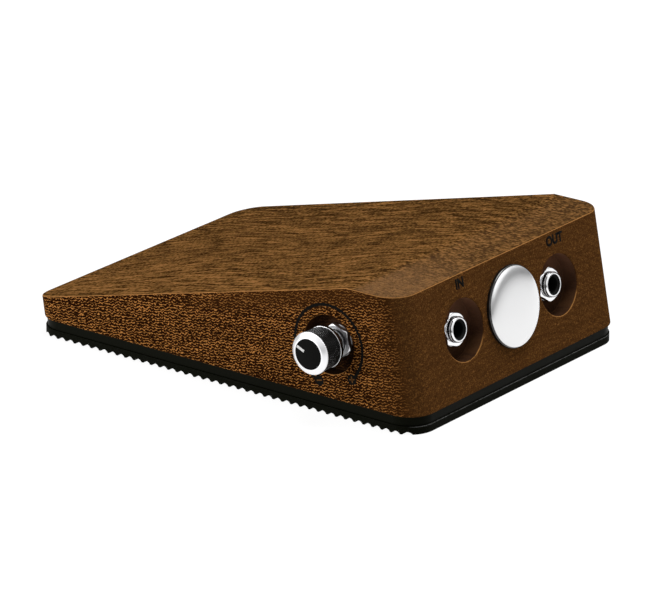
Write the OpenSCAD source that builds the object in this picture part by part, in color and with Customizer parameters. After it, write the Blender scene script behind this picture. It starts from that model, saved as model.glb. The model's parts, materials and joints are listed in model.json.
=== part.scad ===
// Foot stomp box: a solid wooden wedge that is tapped with the foot. A contact pickup under its
// sloping top feeds a volume control on one side and two jacks in the leaning rear face.
// Frame: +Z up, +Y towards the jack end, +X towards the volume knob.
// The origin lies on the floor, under the middle of the base.

/* [Wood body] */
// Width of the body
body_w = 140; // [130:1:180]
// Length of the body along its base
body_l = 192; // [176:1:240]
// Height of the wood at the thin end
front_h = 7.8; // [6:0.1:14]
// Height of the wood at the jack end
rear_h = 47.2; // [45:0.1:60]
// Depth of the level top above the jacks
crest_d = 24.5; // [16:0.5:34]
// Lean of the jack end from upright, in degrees
rear_lean = 10.75; // [4:0.25:14]
// Lean of the thin end from upright, in degrees
front_lean = 8.5; // [0:0.5:12]
// Radius of the upright corners
corner_r = 11; // [6:0.5:16]

/* [Chamber in the wood] */
// Room above the volume control in the chamber
head_room = 1; // [0.5:0.5:3]
// Wood left between a recess and the chamber
panel_t = 5.3; // [4:0.1:6.5]
// Radius that the cutter leaves in the chamber's corners
cutter_r = 4; // [3:0.5:5]
// Flat wall between the volume control and the round of the chamber's corner
chamber_room = 0.5; // [0.5:0.5:2]
// Width of the pocket for the pickup
pocket_w = 48; // [40:1:60]
// Length of the pocket for the pickup, in front of the chamber
pocket_l = 40; // [36:1:46]
// Height of the pocket's ceiling above the wood's underside
pocket_h = 22; // [18:0.5:24]

/* [Base] */
// Thickness of the base plate
plate_t = 3.8; // [3:0.2:6]
// Inset of the base plate from the body's outline
plate_inset = 0.7; // [0.2:0.1:2]
// Thickness of the rubber mat, ribs included
mat_t = 3.4; // [2.6:0.2:6]
// Inset of the rubber mat from the body's outline
mat_inset = 0.3; // [0:0.1:2]
// Depth of the grooves between the ribs
groove_d = 1.1; // [0.6:0.1:1.4]
// Distance from rib to rib
rib_pitch = 4.41; // [3.6:0.01:8]
// Width of the flat on each rib
rib_flat = 0.9; // [0.5:0.1:1.4]
// Diameter of the base screws
screw_d = 3; // [2:0.5:3.5]
// Length of the base screws, head included
screw_l = 10; // [8:0.5:12]
// Distance of the base screws from the sides
screw_side = 12; // [9:0.5:14]
// Distance of the base screws from the thin end
screw_front = 13; // [12:0.5:20]
// Distance of the base screws from the jack end
screw_rear = 8; // [7:0.5:9]

/* [Jacks] */
// Distance of each jack from the middle
jack_x = 32; // [31:0.5:38]
// Height of the jacks up the leaning face
jack_up = 25.8; // [22:0.1:28]
// Diameter of a jack's recess
jack_recess_d = 25; // [22:0.5:27]
// Depth of a recess, for the jacks and the volume control
recess_depth = 6.7; // [5:0.1:8]
// Bore for the plug
jack_bore_d = 6.5; // [6.4:0.05:6.8]
// Diameter of the threaded bushings
thread_d = 10.2; // [8.5:0.1:11.5]
// How far a jack's bushing stands above the recess floor
jack_stand = 4.4; // [3.6:0.1:6]
// Hex nut across its flats
nut_af = 13; // [12.4:0.1:14]
// Height of a hex nut
nut_h = 1.9; // [1.8:0.1:2.8]
// Diameter of a washer under a nut
washer_d = 13.4; // [12.8:0.1:18]
// Thickness of a washer under a nut
washer_t = 0.6; // [0.4:0.1:1]
// Thickness of a jack's steel frame
frame_t = 1.2; // [0.8:0.1:1.6]
// Width of a jack's steel frame
frame_w = 15; // [14:0.5:17]
// Thickness of a jack's tip spring
spring_t = 0.4; // [0.3:0.05:0.6]
// Width of a jack's tip spring
spring_w = 5; // [4:0.5:6]

/* [Volume control] */
// Distance of the knob from the bottom edge of the jack end
knob_back = 42; // [40:0.5:50]
// Height of the knob's axis above the wood's underside
knob_up = 22; // [20.5:0.5:24]
// Diameter of the knob's recess
knob_recess_d = 24; // [18:0.5:25]
// Diameter of the control's housing
pot_d = 24; // [20:0.5:25]
// Depth of the control's housing
pot_depth = 7; // [6:0.5:8]
// Gap between the control's bushing and the knob
bushing_clear = 1.1; // [0.4:0.1:3]
// Diameter of the shaft
shaft_d = 6; // [5:0.5:6.4]
// Knob diameter at the grip
knob_d = 17; // [15:0.5:20]
// Knob diameter at the bezel
bezel_d = 17.4; // [15.5:0.1:21]
// Diameter of the knob's flat face
face_d = 13; // [11:0.1:14]
// Gap between the knob and the wood
knob_gap = 1.6; // [1.2:0.1:6]
// Length of the knob from back to face
knob_l = 11.4; // [10:0.1:14]
// Angle that the knob stands at, clockwise from the top of its dial
knob_rest = -53; // [-150:1:150]

/* [Badge] */
// Diameter of the round badge
badge_d = 33.2; // [28:0.1:36]
// Height of the badge up the leaning face
badge_up = 26.1; // [22:0.1:28]
// Thickness of the badge's backing
backing_t = 0.6; // [0.3:0.1:1]
// Straight edge of the badge's clear dome
dome_edge = 0.8; // [0.4:0.1:1.5]
// Rise of the badge's clear dome
dome_rise = 1.2; // [0.6:0.1:2]

/* [Pickup] */
// Diameter of the pickup's metal disc
disc_d = 27; // [20:1:35]
// Thickness of the pickup's metal disc
disc_t = 0.4; // [0.2:0.05:0.6]
// Diameter of the pickup's ceramic element
ceramic_d = 20; // [14:1:25]
// Thickness of the pickup's ceramic element
ceramic_t = 0.3; // [0.2:0.05:0.5]
// Thickness of the adhesive pad over the pickup
pad_t = 0.8; // [0.4:0.1:1.5]
// Diameter of the hook-up wires
wire_d = 1.4; // [1:0.1:2]

/* [Hidden] */
$fn = 64;
dome_fn = 720;

// Overshoot of a cut past the face it opens, and the long side of a cutting block
over = 4;
reach = 2 * body_l;
// Radial clearance of pieces that fit together, of the shaft in its bushing, and of a bushing in
// the wood or in a washer
fit_gap = 0.05;
run_gap = 0.05;
loose_gap = 0.1;
// Gap between a wire's end and its lug
solder_gap = 0.15;

// Heights of the layers
wood_z = mat_t + plate_t;
chamber_h = knob_up + pot_d / 2 + head_room;
pocket_z = wood_z + pocket_h;

// Side outline of the wood
rear_top_y = body_l / 2 - rear_h * tan(rear_lean);
crest_y = rear_top_y - crest_d;
front_top_y = -body_l / 2 - front_h * tan(front_lean);
top_slope = (rear_h - front_h) / (crest_y - front_top_y);
dial_tilt = atan(top_slope);

// Walls round the chamber, and where the volume control stands
side_wall = recess_depth + panel_t;
chamber_half_w = body_w / 2 - side_wall;
knob_y = body_l / 2 - knob_back;
chamber_front_y = knob_y - pot_d / 2 - cutter_r - chamber_room;
pocket_mid_y = chamber_front_y - pocket_l / 2;

// Ribs under the mat
rib_half_n = floor((body_l / 2 - mat_inset) / rib_pitch - 0.5);
groove_w = rib_pitch - rib_flat;
groove_r = (groove_w * groove_w / 4 + groove_d * groove_d) / (2 * groove_d);

// Base screws: a flat head under the plate, and a shank in the wood
screw_head_d = 2 * screw_d;
screw_head_h = screw_d / 2;
screw_point_room = 0.5;
screw_places = [
    for (sx = [-1, 1], y = [screw_front - body_l / 2, 0, body_l / 2 - screw_rear])
        [sx * (body_w / 2 - screw_side), y]
];

// Jack, measured from the recess floor inwards along the plug
thread_edge = 0.4;
input_nut_turn = 41;
output_nut_turn = 23;
frame_front = -panel_t;
frame_back = frame_front - frame_t;
flange_t = 1;
flange_out = 1.5;
flange_d = thread_d + 2 * flange_out;
mouth_lip = 0.85;
mouth_d = thread_d - 2 * mouth_lip;
sleeve_back = frame_back - flange_t;
plate_top = 8;
arm_y = 9.5;
arm_w = 12;
arm_l = 9.5;
insulator_t = 1;
insulator_w = 11;
insulator_l = 8;
stack_behind = 5.2;
stack_z = frame_back - stack_behind;
spring_y = arm_y - frame_t - insulator_t;
rivet_d = 2.5;
rivet_head_d = 4.4;
rivet_head_t = 0.6;
spring_hole_d = 3.6;
root_l = 0.6;
crest_behind = 10;
crest_up = 2.4;
crest_rise = [2.2, 1.6];
tip_fall = 2.6;
tail_w = 3;
tail_x = 11;
tail_hole_d = 1;
lug_pitch = 2.4;
ground_tab_x = 11.5;
ground_tab_w = 5;

// Volume control, measured from the recess floor inwards along the shaft
pot_front = -panel_t;
pot_plate_t = 1;
pot_back = pot_front - pot_plate_t;
wafer_t = 1.6;
wafer_back = pot_back - wafer_t;
can_t = 0.6;
track_t = 0.2;
track_w = 2.8;
track_edge = 2;
track_out_r = pot_d / 2 - can_t - track_edge;
track_in_r = track_out_r - track_w;
track_sweep = 300;
tongue_w = 16;
tongue_out = 5;
tongue_l = pot_d / 2 + tongue_out;
terminal_pitch = 5;
terminal_w = 2;
terminal_t = 0.5;
terminal_gap = 0.6;
terminal_start = pot_d / 2 + terminal_gap;
terminal_out = 3;
terminal_end = tongue_l + terminal_out;
wafer_hole_gap = 1.5;
wiper_gap = 0.15;
wiper_t = 1.4;
finger_w = 2.4;
shaft_end_gap = 0.4;
shaft_back = pot_back - pot_depth + can_t + shaft_end_gap;
shaft_flat = 1.5;

// Knob, measured from the recess floor outwards along the shaft
knob_from = recess_depth + knob_gap;
knob_to = knob_from + knob_l;
pot_stand = knob_from - bushing_clear;
ring_t = 1.6;
ring_hole_gap = 0.5;
bezel_l = 1.8;
bezel_from = knob_to - bezel_l;
bezel_rim = 0.5;
bezel_land = 0.2;
bezel_lip = 0.3;
cap_t = 0.6;
boss_d = face_d - 2 * bezel_lip;
shaft_in_boss = 0.8;
shaft_to = bezel_from + shaft_in_boss;
shaft_bore_room = 0.2;
pointer_r = [2.1, 5.9];
pointer_w = 1.1;
pointer_t = 0.15;

// Pickup: how far the pad's edge lies inside the disc's, the disc's underside, how far off the
// middle its wires leave it, and how many lengths make up a wire
pad_in = 1;
pickup_under = pocket_z - pad_t - disc_t;
wire_off = 2;
wire_steps = 20;

// Point p of a jack on the given side of the middle, in the frame of the whole object
function jack_point(side, p) =
    let (y = p.y - jack_up, z = p.z - recess_depth)
    [
        side * jack_x + p.x,
        body_l / 2 + y * sin(rear_lean) + z * cos(rear_lean),
        wood_z - y * cos(rear_lean) + z * sin(rear_lean)
    ];

// Solder points: under a tip spring's tail, behind a ground tab and behind a terminal
function tip_lug(side, i) =
    jack_point(side, [tail_x - tail_hole_d - i * lug_pitch, spring_y + solder_gap, stack_z]);
function ground_lug(side, i) =
    jack_point(side, [wire_d - ground_tab_x, (i - 0.5) * lug_pitch, frame_back - solder_gap]);
function pot_lug(i) = [
    body_w / 2 - recess_depth + wafer_back - terminal_t - solder_gap,
    knob_y + i * terminal_pitch,
    wood_z + knob_up - terminal_end + wire_d
];

// Points on a cubic curve from a to d, which leaves towards b and arrives from c
function curve(a, b, c, d, n) = [
    for (i = [0 : n])
        let (t = i / n, u = 1 - t)
        u * u * u * a + 3 * u * u * t * b + 3 * u * t * t * c + t * t * t * d
];

function unit(v) = v / norm(v);

// Tube of radius r along a list of points, with n sides
module tube(path, r, n = 8) {
    last = len(path) - 1;
    aside = [0.3, 0.2, 1];
    rings = [
        for (i = [0 : last])
            let (
                along = unit(path[min(i + 1, last)] - path[max(i - 1, 0)]),
                across = unit(cross(along, aside)),
                up = cross(along, across)
            )
            for (k = [0 : n - 1])
                path[i] + r * (cos(360 * k / n) * across + sin(360 * k / n) * up)
    ];
    sides = [
        for (i = [0 : last - 1], k = [0 : n - 1])
            let (a = i * n + k, b = i * n + (k + 1) % n)
            each [[a, b, b + n], [a, b + n, a + n]]
    ];
    ends = [
        for (k = [1 : n - 2])
            each [[0, k + 1, k], [last * n, last * n + k, last * n + k + 1]]
    ];
    polyhedron(points = rings, faces = concat(sides, ends));
}

module wire(tint, a, b, c, d) {
    color(tint) tube(curve(a, b, c, d, wire_steps), wire_d / 2);
}

module rounded_rect(w, l, r) {
    square([w - 2 * r, l], center = true);
    square([w, l - 2 * r], center = true);
    for (sx = [-1, 1], sy = [-1, 1])
        translate([sx * (w / 2 - r), sy * (l / 2 - r)])
            circle(r);
}

// Extrudes an outline in the upright plane of the length, across the width
module across_width(w) {
    rotate([90, 0, 90])
        linear_extrude(w, center = true)
            children();
}

// Upright prism with rounded corners whose rear wall leans with the jack end, inset by wall
module rear_prism(w, wall, r) {
    translate([0, body_l / 2, wood_z])
        rotate([rear_lean, 0, 0])
            translate([0, -wall - reach / 2, -reach / 2])
                linear_extrude(reach)
                    rounded_rect(w, reach, r);
}

module front_prism() {
    translate([0, -body_l / 2, wood_z])
        rotate([front_lean, 0, 0])
            translate([0, reach / 2, -reach / 2])
                linear_extrude(reach)
                    rounded_rect(body_w, reach, corner_r);
}

module at_rear(x, up) {
    translate([0, body_l / 2, wood_z])
        rotate([rear_lean - 90, 0, 0])
            translate([x, -up, 0])
                children();
}

// Places a jack with its recess floor at zero and its plug's axis along z
module at_jack(side) {
    at_rear(side * jack_x, jack_up)
        translate([0, 0, -recess_depth])
            children();
}

// Places the volume control with its recess floor at zero and its shaft along z
module at_knob() {
    translate([body_w / 2 - recess_depth, knob_y, wood_z + knob_up])
        rotate([0, 90, 0])
            children();
}

module turned_to_pointer() {
    rotate([0, 0, 180 + dial_tilt - knob_rest])
        children();
}

module wood_blank() {
    intersection() {
        across_width(body_w + 2 * over)
            polygon([
                [front_top_y - over, wood_z],
                [body_l / 2 + over, wood_z],
                [body_l / 2 + over, wood_z + rear_h],
                [crest_y, wood_z + rear_h],
                [front_top_y - over, wood_z + front_h - over * top_slope]
            ]);
        rear_prism(body_w, 0, corner_r);
        front_prism();
    }
}

module chamber() {
    intersection() {
        translate([0, chamber_front_y + reach / 2, wood_z - over])
            linear_extrude(chamber_h + over)
                rounded_rect(2 * chamber_half_w, reach, cutter_r);
        rear_prism(2 * chamber_half_w, side_wall, cutter_r);
    }
}

module pickup_pocket() {
    translate([0, pocket_mid_y + cutter_r, wood_z - over])
        linear_extrude(pocket_h + over)
            rounded_rect(pocket_w, pocket_l + 2 * cutter_r, cutter_r);
}

module recess(d) {
    cylinder(d = d, h = recess_depth + over);
    translate([0, 0, -panel_t - over])
        cylinder(d = thread_d + 2 * loose_gap, h = panel_t + 2 * over);
}

module wood_body() {
    color("#5f3f1f")
        difference() {
            wood_blank();
            chamber();
            pickup_pocket();
            for (side = [-1, 1])
                at_jack(side)
                    recess(jack_recess_d);
            at_knob()
                recess(knob_recess_d);
            for (p = screw_places)
                translate([p.x, p.y, wood_z - over])
                    cylinder(d = screw_d + 2 * fit_gap, h = over + screw_l - plate_t + screw_point_room);
        }
}

module base_plate() {
    color("#1c1c1c")
        difference() {
            translate([0, 0, mat_t])
                linear_extrude(plate_t)
                    rounded_rect(body_w - 2 * plate_inset, body_l - 2 * plate_inset, corner_r);
            for (p = screw_places)
                translate([p.x, p.y, mat_t])
                    screw(fit_gap, over);
        }
}

// Flat-headed screw with its head's face at zero, grown by gap and lengthened by extra at both ends
module screw(gap, extra) {
    head_r = screw_head_d / 2 + gap;
    shank_r = screw_d / 2 + gap;
    rotate_extrude()
        polygon([
            [0, -extra],
            [head_r, -extra],
            [head_r, 0],
            [shank_r, screw_head_h],
            [shank_r, screw_l + extra],
            [0, screw_l + extra]
        ]);
}

module base_screws() {
    color("silver")
        for (p = screw_places)
            translate([p.x, p.y, mat_t])
                screw(0, 0);
}

module rubber_mat() {
    color("#161616")
        intersection() {
            translate([0, 0, -over])
                linear_extrude(mat_t + over)
                    rounded_rect(body_w - 2 * mat_inset, body_l - 2 * mat_inset, corner_r);
            across_width(body_w + 2 * over)
                difference() {
                    translate([-body_l / 2 - over, 0])
                        square([body_l + 2 * over, mat_t + over]);
                    for (i = [-rib_half_n : rib_half_n - 1])
                        translate([(i + 0.5) * rib_pitch, groove_d - groove_r])
                            circle(groove_r);
                }
        }
}

module badge_backing() {
    color("gainsboro")
        at_rear(0, badge_up)
            cylinder(d = badge_d, h = backing_t);
}

module badge_dome() {
    dome_r = (badge_d * badge_d / 4 + dome_rise * dome_rise) / (2 * dome_rise);
    color("white", 0.4)
        at_rear(0, badge_up)
            translate([0, 0, backing_t])
                rotate_extrude()
                    intersection() {
                        square([badge_d / 2, dome_edge + dome_rise + over]);
                        translate([0, dome_edge + dome_rise - dome_r])
                            circle(dome_r, $fn = dome_fn);
                    }
}

module jack_sleeve() {
    bore_r = jack_bore_d / 2;
    bevel = (mouth_d - jack_bore_d) / 2;
    color("silver")
        rotate_extrude()
            polygon([
                [bore_r, sleeve_back],
                [flange_d / 2, sleeve_back],
                [flange_d / 2, frame_back],
                [thread_d / 2, frame_back],
                [thread_d / 2, jack_stand - thread_edge],
                [thread_d / 2 - thread_edge, jack_stand],
                [mouth_d / 2, jack_stand],
                [bore_r, jack_stand - bevel]
            ]);
}

// Hex nut on its washer, with its corners bevelled
module hex_nut(turn) {
    corner = nut_af / cos(30);
    bevel_h = (corner - nut_af) / 2 * tan(30);
    color("silver")
        translate([0, 0, washer_t])
            difference() {
                intersection() {
                    rotate([0, 0, turn])
                        cylinder(d = corner, h = nut_h, $fn = 6);
                    rotate_extrude()
                        polygon([
                            [0, -over],
                            [corner / 2 + over, -over],
                            [corner / 2 + over, nut_h - bevel_h - over * tan(30)],
                            [nut_af / 2, nut_h],
                            [0, nut_h]
                        ]);
                }
                translate([0, 0, -over])
                    cylinder(d = thread_d + 2 * fit_gap, h = nut_h + 2 * over);
            }
}

module flat_washer() {
    color("lightgray")
        difference() {
            cylinder(d = washer_d, h = washer_t);
            translate([0, 0, -over])
                cylinder(d = thread_d + 2 * loose_gap, h = washer_t + 2 * over);
        }
}

// Stamped frame: a plate behind the panel, an arm bent back under the plug and a ground tab
module jack_frame() {
    color("lightsteelblue")
        difference() {
            union() {
                translate([-frame_w / 2, -plate_top, frame_back])
                    cube([frame_w, plate_top + arm_y, frame_t]);
                translate([-arm_w / 2, arm_y - frame_t, frame_back - arm_l])
                    cube([arm_w, frame_t, arm_l + frame_t]);
                translate([-ground_tab_x, -ground_tab_w / 2, frame_back])
                    cube([ground_tab_x, ground_tab_w, frame_t]);
            }
            translate([0, 0, frame_back - over])
                cylinder(d = thread_d + 2 * fit_gap, h = frame_t + 2 * over);
            through_stack(rivet_d + 2 * fit_gap);
        }
}

// Hole down through the arm and the stack that it carries
module through_stack(d) {
    translate([0, 0, stack_z])
        rotate([-90, 0, 0])
            cylinder(d = d, h = arm_y + over);
}

module insulator(y) {
    difference() {
        translate([-insulator_w / 2, y, stack_z - insulator_l / 2])
            cube([insulator_w, insulator_t, insulator_l]);
        through_stack(rivet_d + 2 * fit_gap);
    }
}

// Two fibre plates that hold the tip spring clear of the frame
module jack_insulators() {
    color("saddlebrown") {
        insulator(spring_y);
        insulator(spring_y - spring_t - insulator_t);
    }
}

// Outline of a strip of thickness t along a line of points, with mitred bends
function across(points, i) =
    let (
        last = len(points) - 1,
        a = unit(points[min(i + 1, last)] - points[min(i, last - 1)]),
        b = unit(points[max(i, 1)] - points[max(i - 1, 0)])
    )
    [-a.y - b.y, a.x + b.x] / (1 + a * b);

module strip(points, t) {
    last = len(points) - 1;
    polygon(concat(
        [for (i = [0 : last]) points[i] + across(points, i) * t / 2],
        [for (i = [last : -1 : 0]) points[i] - across(points, i) * t / 2]
    ));
}

// Tip spring: clamped flat in the stack, then bent up to a crest that rides in the plug's notch
module jack_tip_spring() {
    mid_y = spring_y - spring_t / 2;
    crest_z = stack_z - crest_behind;
    color("goldenrod")
        difference() {
            union() {
                rotate([0, -90, 0])
                    linear_extrude(spring_w, center = true)
                        strip([
                            [stack_z + insulator_l / 2, mid_y],
                            [stack_z - insulator_l / 2 - root_l, mid_y],
                            [crest_z + crest_rise.x, crest_up + crest_rise.y],
                            [crest_z, crest_up],
                            [crest_z - tip_fall, crest_up + tip_fall]
                        ], spring_t);
                translate([0, spring_y - spring_t, stack_z - tail_w / 2])
                    cube([tail_x, spring_t, tail_w]);
            }
            through_stack(spring_hole_d);
            translate([tail_x - tail_hole_d, 0, stack_z])
                rotate([-90, 0, 0])
                    cylinder(d = tail_hole_d, h = arm_y);
        }
}

module jack_rivet() {
    top_y = spring_y - spring_t - insulator_t;
    color("gold")
        translate([0, top_y - rivet_head_t, stack_z])
            rotate([-90, 0, 0]) {
                cylinder(d = rivet_head_d, h = rivet_head_t);
                cylinder(d = rivet_d, h = arm_y - top_y + 2 * rivet_head_t);
                translate([0, 0, arm_y - top_y + rivet_head_t])
                    cylinder(d = rivet_head_d, h = rivet_head_t);
            }
}

module input_jack_sleeve() { at_jack(1) jack_sleeve(); }
module input_jack_nut() { at_jack(1) hex_nut(input_nut_turn); }
module input_jack_washer() { at_jack(1) flat_washer(); }
module input_jack_frame() { at_jack(1) jack_frame(); }
module input_jack_insulators() { at_jack(1) jack_insulators(); }
module input_jack_tip_spring() { at_jack(1) jack_tip_spring(); }
module input_jack_rivet() { at_jack(1) jack_rivet(); }
module output_jack_sleeve() { at_jack(-1) jack_sleeve(); }
module output_jack_nut() { at_jack(-1) hex_nut(output_nut_turn); }
module output_jack_washer() { at_jack(-1) flat_washer(); }
module output_jack_frame() { at_jack(-1) jack_frame(); }
module output_jack_insulators() { at_jack(-1) jack_insulators(); }
module output_jack_tip_spring() { at_jack(-1) jack_tip_spring(); }
module output_jack_rivet() { at_jack(-1) jack_rivet(); }

module volume_bushing() {
    bore_r = shaft_d / 2 + run_gap;
    color("silver")
        at_knob()
            rotate_extrude()
                polygon([
                    [bore_r, pot_back],
                    [pot_d / 2, pot_back],
                    [pot_d / 2, pot_front],
                    [thread_d / 2, pot_front],
                    [thread_d / 2, pot_stand - thread_edge],
                    [thread_d / 2 - thread_edge, pot_stand],
                    [bore_r, pot_stand]
                ]);
}

// Pressed can over the back of the control, notched for the tongue of the wafer
module volume_housing() {
    color("lightgray")
        at_knob()
            difference() {
                translate([0, 0, pot_back - pot_depth])
                    cylinder(d = pot_d, h = pot_depth);
                translate([0, 0, pot_back - pot_depth + can_t])
                    cylinder(d = pot_d - 2 * can_t, h = pot_depth);
                translate([0, -tongue_w / 2 - fit_gap, wafer_back - terminal_t - fit_gap])
                    cube([pot_d, tongue_w + 2 * fit_gap, wafer_t + terminal_t + over]);
            }
}

module volume_wafer() {
    color("peru")
        at_knob()
            translate([0, 0, wafer_back])
                difference() {
                    union() {
                        cylinder(d = pot_d - 2 * can_t - 2 * fit_gap, h = wafer_t);
                        translate([0, -tongue_w / 2, 0])
                            cube([tongue_l, tongue_w, wafer_t]);
                    }
                    translate([0, 0, -over])
                        cylinder(d = shaft_d + 2 * wafer_hole_gap, h = wafer_t + 2 * over);
                }
}

// Carbon track on the back of the wafer, open towards the tongue
module volume_track() {
    color("#222222")
        at_knob()
            translate([0, 0, wafer_back - track_t])
                rotate([0, 0, (360 - track_sweep) / 2])
                    rotate_extrude(angle = track_sweep)
                        translate([track_in_r, 0])
                            square([track_w, track_t]);
}

module volume_terminals() {
    color("gold")
        at_knob()
            for (i = [-1 : 1])
                translate([terminal_start, i * terminal_pitch - terminal_w / 2, wafer_back - terminal_t])
                    cube([terminal_end - terminal_start, terminal_w, terminal_t]);
}

module volume_nut() { at_knob() hex_nut(dial_tilt); }
module volume_washer() { at_knob() flat_washer(); }

// Shaft with a flat for the knob
module volume_shaft() {
    color("silver")
        at_knob()
            turned_to_pointer()
                difference() {
                    translate([0, 0, shaft_back])
                        cylinder(d = shaft_d, h = shaft_to - shaft_back);
                    translate([shaft_d / 2 - shaft_flat, -shaft_d, knob_from])
                        cube([shaft_d, 2 * shaft_d, shaft_to]);
                }
}

// Rotor that carries the contact finger round the track
module volume_wiper() {
    rotor_front = wafer_back - track_t - 2 * wiper_gap;
    color("sienna")
        at_knob()
            turned_to_pointer()
                difference() {
                    union() {
                        translate([0, 0, rotor_front - wiper_t])
                            cylinder(r = track_out_r, h = wiper_t);
                        translate([-track_out_r, -finger_w / 2, rotor_front])
                            cube([track_w, finger_w, wiper_gap]);
                    }
                    translate([0, 0, rotor_front - wiper_t - over])
                        cylinder(d = shaft_d + 2 * fit_gap, h = wiper_t + 2 * over);
                }
}

// Grip with a boss for the bezel and a bore with a flat for the shaft
module knob_body() {
    bore_d = shaft_d + 2 * fit_gap;
    color("#151515")
        at_knob()
            turned_to_pointer()
                difference() {
                    union() {
                        translate([0, 0, knob_from + ring_t])
                            cylinder(d = knob_d, h = bezel_from - knob_from - ring_t);
                        translate([0, 0, bezel_from])
                            cylinder(d = boss_d, h = knob_to - cap_t - bezel_from);
                    }
                    difference() {
                        translate([0, 0, knob_from])
                            cylinder(d = bore_d, h = shaft_to + shaft_bore_room - knob_from);
                        translate([shaft_d / 2 - shaft_flat + fit_gap, -shaft_d, knob_from])
                            cube([shaft_d, 2 * shaft_d, knob_l]);
                    }
                }
}

// Bright ring that slopes from the grip to the face
module knob_bezel() {
    color("white")
        at_knob()
            rotate_extrude()
                polygon([
                    [boss_d / 2 + fit_gap, bezel_from],
                    [bezel_d / 2, bezel_from],
                    [bezel_d / 2, bezel_from + bezel_rim],
                    [face_d / 2 + bezel_land, knob_to],
                    [boss_d / 2 + fit_gap, knob_to]
                ]);
}

module knob_cap() {
    color("#0d0d0d")
        at_knob()
            translate([0, 0, knob_to - cap_t])
                cylinder(d = boss_d, h = cap_t);
}

module knob_pointer() {
    color("white")
        at_knob()
            turned_to_pointer()
                translate([pointer_r[0], -pointer_w / 2, knob_to])
                    cube([pointer_r[1] - pointer_r[0], pointer_w, pointer_t]);
}

module knob_back_ring() {
    color("silver")
        at_knob()
            difference() {
                translate([0, 0, knob_from])
                    cylinder(d = knob_d, h = ring_t);
                translate([0, 0, knob_from - over])
                    cylinder(d = shaft_d + 2 * ring_hole_gap, h = ring_t + 2 * over);
            }
}

// Pickup: an adhesive pad on the pocket's ceiling, a metal disc and its ceramic element
module pickup_layer(tint, d, t, below) {
    color(tint)
        translate([0, pocket_mid_y, pocket_z - below - t])
            cylinder(d = d, h = t);
}

module pickup_pad() { pickup_layer("white", disc_d - 2 * pad_in, pad_t, 0); }
module pickup_disc() { pickup_layer("gold", disc_d, disc_t, pad_t); }
module pickup_ceramic() { pickup_layer("ivory", ceramic_d, ceramic_t, pad_t + disc_t); }

module pickup_hot_wire() {
    from = [wire_off, pocket_mid_y, pickup_under - ceramic_t - solder_gap];
    to = pot_lug(-1);
    wire("firebrick", from, from - [0, 0, 21], [wire_off + pocket_w / 4, to.y, to.z], to);
}

module pickup_ground_wire() {
    from = [-wire_off, pocket_mid_y + (ceramic_d + disc_d) / 4, pickup_under - solder_gap];
    to = ground_lug(-1, 1);
    wire("#202020", from, from - [0, 0, 18], to - [0, 30, 4], to);
}

module volume_output_wire() {
    from = pot_lug(0);
    to = tip_lug(-1, 0);
    wire("steelblue", from, from - [44, 6, 0], to - [0, -2, 15], to);
}

module volume_ground_wire() {
    from = pot_lug(1);
    to = ground_lug(1, 1);
    wire("#202020", from, from - [24, 0, 0], to - [0, 24, 10], to);
}

module jack_hot_wire() {
    from = tip_lug(1, 1);
    to = tip_lug(-1, 1);
    wire("firebrick", from, from - [0, -5, 14], to - [0, -5, 14], to);
}

module jack_ground_wire() {
    from = ground_lug(1, 0);
    to = ground_lug(-1, 0);
    wire("#202020", from, from - [0, 16, 0], to - [0, 16, 0], to);
}

wood_body();
base_plate();
rubber_mat();
base_screws();
badge_backing();
badge_dome();
input_jack_sleeve();
input_jack_nut();
input_jack_washer();
input_jack_frame();
input_jack_insulators();
input_jack_tip_spring();
input_jack_rivet();
output_jack_sleeve();
output_jack_nut();
output_jack_washer();
output_jack_frame();
output_jack_insulators();
output_jack_tip_spring();
output_jack_rivet();
volume_bushing();
volume_housing();
volume_wafer();
volume_track();
volume_terminals();
volume_nut();
volume_washer();
volume_shaft();
volume_wiper();
knob_body();
knob_bezel();
knob_cap();
knob_pointer();
knob_back_ring();
pickup_pad();
pickup_disc();
pickup_ceramic();
pickup_hot_wire();
pickup_ground_wire();
volume_output_wire();
volume_ground_wire();
jack_hot_wire();
jack_ground_wire();
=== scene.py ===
import json
import math

import bmesh
import bpy
from bpy.props import FloatProperty, FloatVectorProperty, IntProperty, PointerProperty
from mathutils import Matrix, Vector


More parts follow.
